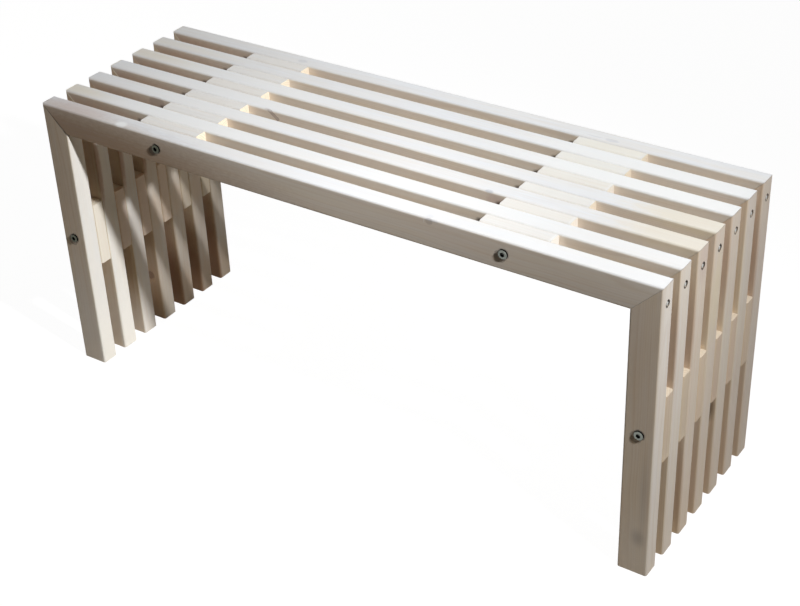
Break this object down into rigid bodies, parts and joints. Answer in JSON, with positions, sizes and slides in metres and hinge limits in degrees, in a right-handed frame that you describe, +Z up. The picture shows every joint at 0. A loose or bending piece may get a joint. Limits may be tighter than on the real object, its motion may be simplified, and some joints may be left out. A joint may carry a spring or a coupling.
{
  "type": "outdoor bench",
  "caption": "Backless slatted timber bench: mitred portal frames side by side, held apart by spacer blocks and drawn together by bolts through the seat and legs.",
  "frame": {"origin": "on the floor, under the middle of the bench's outline", "axes": "+X along the seat to the right end, +Y from the front to the back, +Z up"},
  "size_m": [1, 0.3252, 0.45],
  "materials": {
    "frame_wood": "planed softwood, thin white wash",
    "spacer_wood": "planed softwood, thin white wash, creamier than the frames",
    "bolt_steel": "satin steel",
    "zinc_plate": "bright zinc plate"
  },
  "bodies": {
    "root": {"seat_rail_1": "frame_wood", "seat_rail_2": "frame_wood", "seat_rail_3": "frame_wood", "seat_rail_4": "frame_wood", "seat_rail_5": "frame_wood", "seat_rail_6": "frame_wood", "seat_rail_7": "frame_wood", "left_leg_1": "frame_wood", "left_leg_2": "frame_wood", "left_leg_3": "frame_wood", "left_leg_4": "frame_wood", "left_leg_5": "frame_wood", "left_leg_6": "frame_wood", "left_leg_7": "frame_wood", "right_leg_1": "frame_wood", "right_leg_2": "frame_wood", "right_leg_3": "frame_wood", "right_leg_4": "frame_wood", "right_leg_5": "frame_wood", "right_leg_6": "frame_wood", "right_leg_7": "frame_wood", "left_seat_spacer_1": "spacer_wood", "left_seat_spacer_2": "spacer_wood", "left_seat_spacer_3": "spacer_wood", "left_seat_spacer_4": "spacer_wood", "left_seat_spacer_5": "spacer_wood", "left_seat_spacer_6": "spacer_wood", "right_seat_spacer_1": "spacer_wood", "right_seat_spacer_2": "spacer_wood", "right_seat_spacer_3": "spacer_wood", "right_seat_spacer_4": "spacer_wood", "right_seat_spacer_5": "spacer_wood", "right_seat_spacer_6": "spacer_wood", "left_leg_spacer_1": "spacer_wood", "left_leg_spacer_2": "spacer_wood", "left_leg_spacer_3": "spacer_wood", "left_leg_spacer_4": "spacer_wood", "left_leg_spacer_5": "spacer_wood", "left_leg_spacer_6": "spacer_wood", "right_leg_spacer_1": "spacer_wood", "right_leg_spacer_2": "spacer_wood", "right_leg_spacer_3": "spacer_wood", "right_leg_spacer_4": "spacer_wood", "right_leg_spacer_5": "spacer_wood", "right_leg_spacer_6": "spacer_wood", "left_seat_bolt": "bolt_steel", "right_seat_bolt": "bolt_steel", "left_leg_bolt": "bolt_steel", "right_leg_bolt": "bolt_steel", "left_seat_nut": "zinc_plate", "right_seat_nut": "zinc_plate", "left_leg_nut": "zinc_plate", "right_leg_nut": "zinc_plate", "left_seat_washer": "zinc_plate", "right_seat_washer": "zinc_plate", "left_leg_washer": "zinc_plate", "right_leg_washer": "zinc_plate"}
  },
  "joints": []
}
